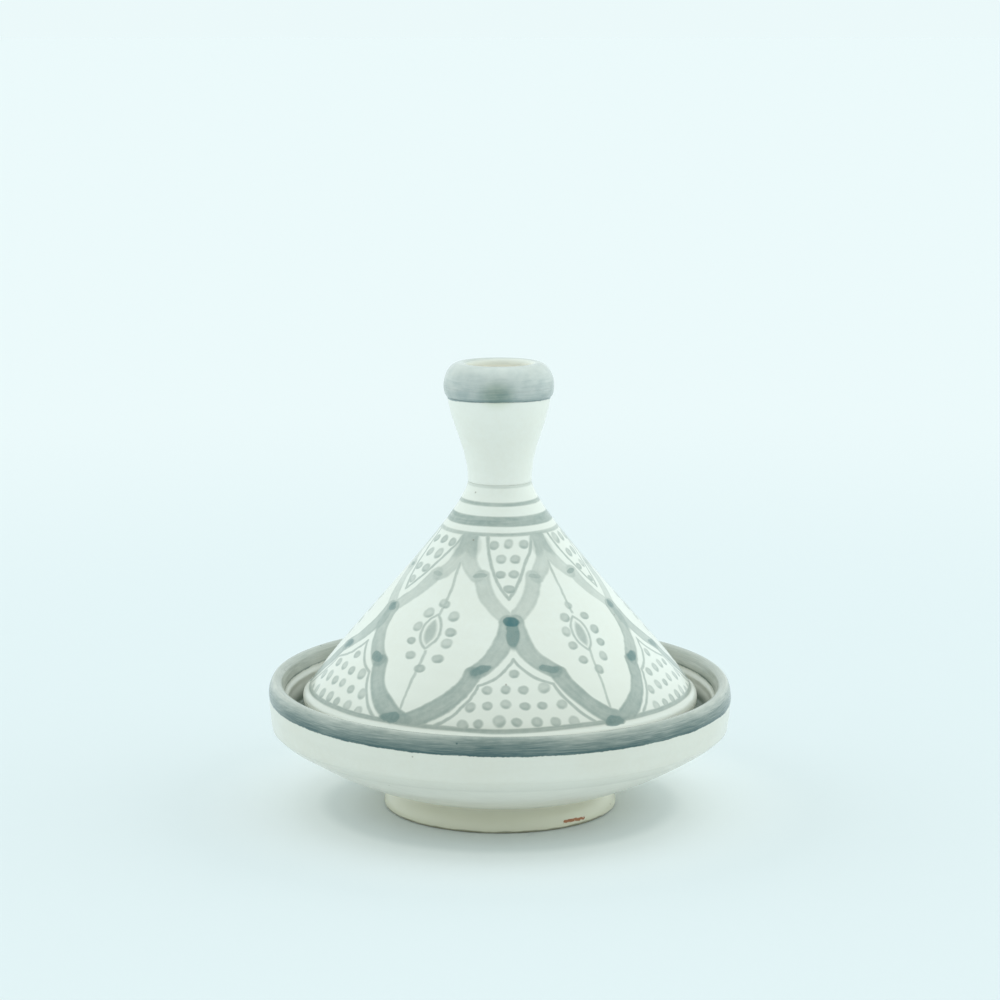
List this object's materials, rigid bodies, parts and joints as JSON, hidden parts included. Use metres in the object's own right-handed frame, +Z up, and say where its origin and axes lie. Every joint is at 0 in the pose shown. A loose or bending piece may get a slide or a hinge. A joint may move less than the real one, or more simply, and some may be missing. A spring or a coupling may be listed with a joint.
{
  "type": "tagine pot",
  "caption": "Small round tagine pot: a shallow footed dish and a hand-painted conical lid with a cup-shaped knob, which lifts off.",
  "frame": {"origin": "centre of the underside of the dish's foot ring, which is the surface that the pot stands on", "axes": "+Z up along the axis on which the dish, the lid and the knob are turned; -Y is the side that faces the viewer"},
  "size_m": [0.1542, 0.1542, 0.1487],
  "materials": {
    "dish_glaze": "glossy tin-white glaze over earthenware, with a blue-grey brushed band on the rim",
    "lid_glaze": "glossy tin-white glaze with blue-grey brush painting under it",
    "knob_glaze": "glossy tin-white glaze outside with a blue-grey brushed lip; bare cream clay inside the cup"
  },
  "bodies": {
    "dish": {"base_dish": "dish_glaze"},
    "lid": {"lid_cone": "lid_glaze", "lid_knob": "knob_glaze"}
  },
  "joints": [
    {"name": "lid_lift", "type": "slide", "parent": "dish", "child": "lid", "axis": [0, 0, 1], "range_m": [0, 0.12]}
  ]
}
